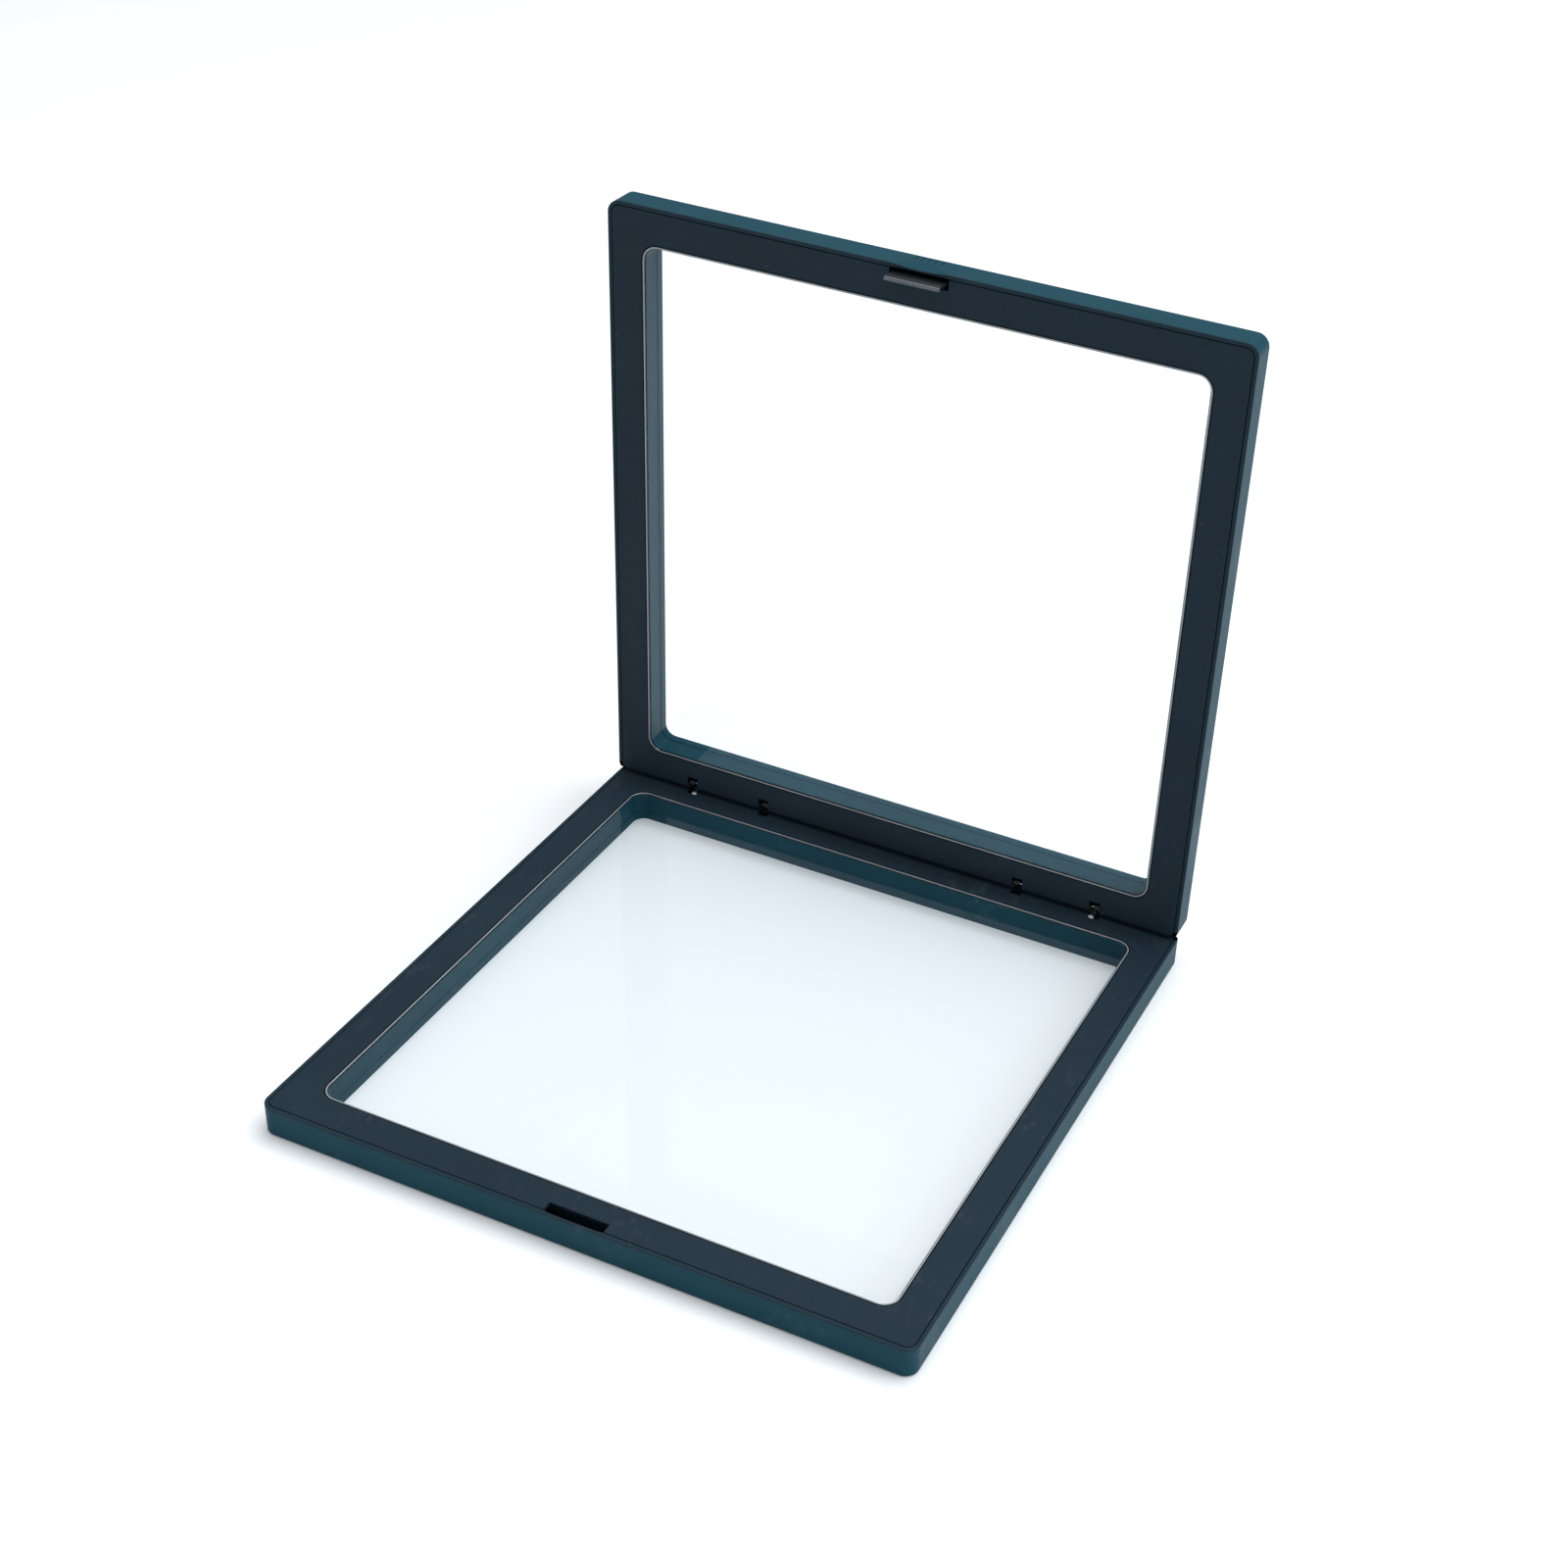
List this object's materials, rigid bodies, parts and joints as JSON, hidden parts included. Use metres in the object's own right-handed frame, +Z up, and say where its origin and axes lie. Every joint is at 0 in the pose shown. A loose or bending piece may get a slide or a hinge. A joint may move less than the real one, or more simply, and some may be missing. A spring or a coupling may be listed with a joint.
{
  "type": "hinged floating display frame",
  "caption": "Two square black frames hinged along one edge, each holding a stretched clear film that traps a flat keepsake between them; push latch on the free edge.",
  "frame": {"origin": "Centre of the whole part in plan, on the plane the lower half rests on.", "axes": "+X along the hinge, to the right seen from the latch edge of the lower half; +Y from the latch edge of the lower half towards the hinge and the upper half; +Z up, along the open upper half."},
  "size_m": [0.2, 0.2038, 0.2083],
  "materials": {
    "shell": "black moulded plastic, satin with a cool cast, rim and outer faces",
    "panel": "black moulded plastic, matte, fine dust and faint scuffs",
    "film": "clear stretched elastic film, glossy, very thin",
    "ring": "glossy clear bead that bonds the film's edge, dark frame showing through",
    "clip": "black moulded plastic, slightly glossy knuckles",
    "steel": "plain drawn steel pin"
  },
  "bodies": {
    "lower_half": {"lower_shell": "shell", "lower_panel": "panel", "lower_film": "film", "lower_film_ring": "ring", "hinge_clip_left": "clip", "hinge_clip_right": "clip", "hinge_pin_1": "steel", "hinge_pin_2": "steel", "hinge_pin_3": "steel", "hinge_pin_4": "steel", "clip_rivet_left": "steel", "clip_rivet_right": "steel", "latch_keeper": "clip"},
    "upper_half": {"upper_shell": "shell", "upper_panel": "panel", "upper_film": "film", "upper_film_ring": "ring"},
    "latch": {"latch_hook": "panel"}
  },
  "joints": [
    {"name": "case_hinge", "type": "hinge", "parent": "lower_half", "child": "upper_half", "pos_m": [0, 0.09415, 0.0123], "axis": [1, 0, 0], "range_deg": [-10, 90]},
    {"name": "latch_release", "type": "slide", "parent": "upper_half", "child": "latch", "axis": [0, 0, -1], "range_m": [0, 0.0008], "stiffness_N_per_m": 1500, "springref_m": -0.0004}
  ]
}
